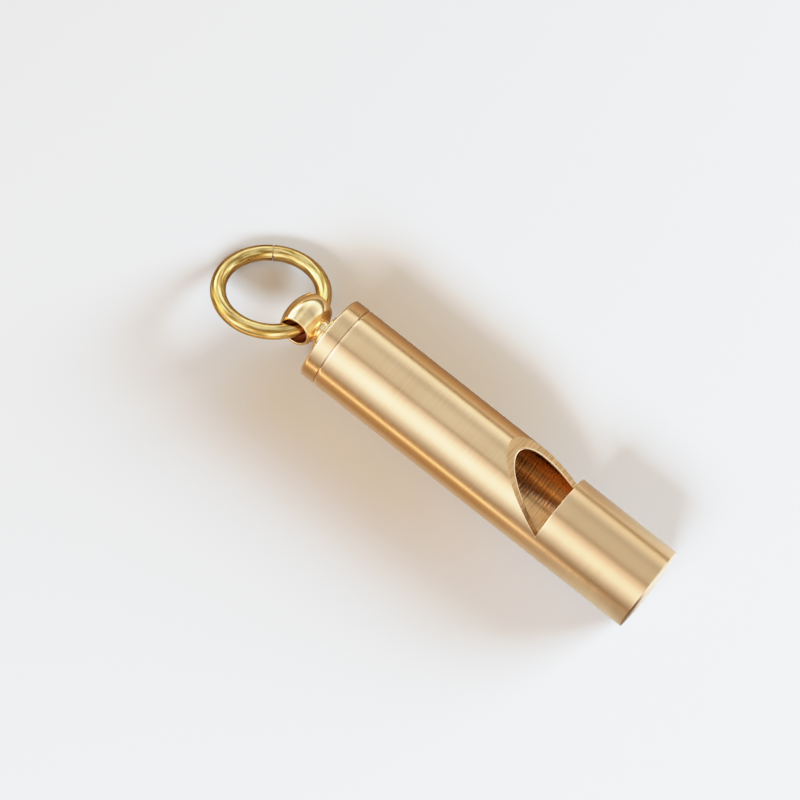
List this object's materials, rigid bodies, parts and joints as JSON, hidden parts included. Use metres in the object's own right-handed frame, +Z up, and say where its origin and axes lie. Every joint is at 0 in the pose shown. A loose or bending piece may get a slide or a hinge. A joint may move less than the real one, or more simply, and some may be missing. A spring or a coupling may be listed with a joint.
{
  "type": "tube whistle",
  "caption": "Satin brass tube whistle with a slanted sound window, a swivelling polished barrel eye and a jump ring for a lanyard or key ring.",
  "frame": {"origin": "centre of the mouth end, on the tube's axis", "axes": "+X along the tube's axis, out of the mouth; +Z up from the surface the whistle lies on, which is 5 mm below the origin"},
  "size_m": [0.0591, 0.0127, 0.01],
  "materials": {
    "satin_brass": "satin, turned",
    "polished_brass": "polished",
    "ring_wire": "bright drawn wire"
  },
  "bodies": {
    "whistle": {"body_tube": "satin_brass", "fipple_plug": "satin_brass", "end_cap": "satin_brass"},
    "eye": {"eye_stud": "polished_brass", "retaining_washer": "polished_brass"},
    "ring": {"jump_ring": "ring_wire"}
  },
  "joints": [
    {"name": "eye_swivel", "type": "hinge", "parent": "whistle", "child": "eye", "pos_m": [-0.0444, 0, 0], "axis": [1, 0, 0], "continuous": true},
    {"name": "ring_swing", "type": "hinge", "parent": "eye", "child": "ring", "pos_m": [-0.0475, 0, 0], "axis": [0, -0.9367, 0.3502], "range_deg": [-138, 108]}
  ]
}
